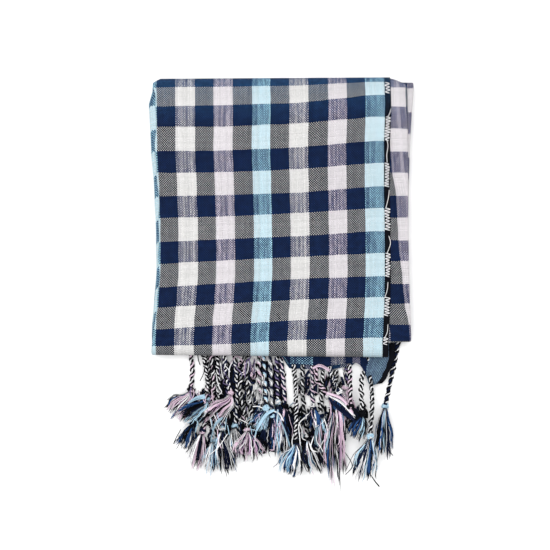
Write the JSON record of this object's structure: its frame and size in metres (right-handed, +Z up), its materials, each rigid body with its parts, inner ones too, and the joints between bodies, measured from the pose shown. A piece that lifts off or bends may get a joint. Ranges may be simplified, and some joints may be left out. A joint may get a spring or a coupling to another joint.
{
  "type": "folded krama scarf",
  "caption": "Folded checked cotton scarf lying flat, with a fringe of twisted, knotted cords and tassels at both ends.",
  "frame": {"origin": "on the table, under the middle of the folded scarf and its fringe", "axes": "+Z up from the table, +Y from the fringe towards the folded cloth's top edge, +X to the right across the cloth's width"},
  "size_m": [0.2655, 0.4159, 0.026],
  "materials": {
    "checked_cotton": "matt hand-woven cotton with a check of navy, white, pale purple and pale blue",
    "fringe_yarn": "matt twisted cotton yarn in navy, white, pink and pale blue"
  },
  "bodies": {
    "root": {"krama_cloth": "checked_cotton", "fringe_lower": "fringe_yarn", "fringe_upper": "fringe_yarn"}
  },
  "joints": []
}
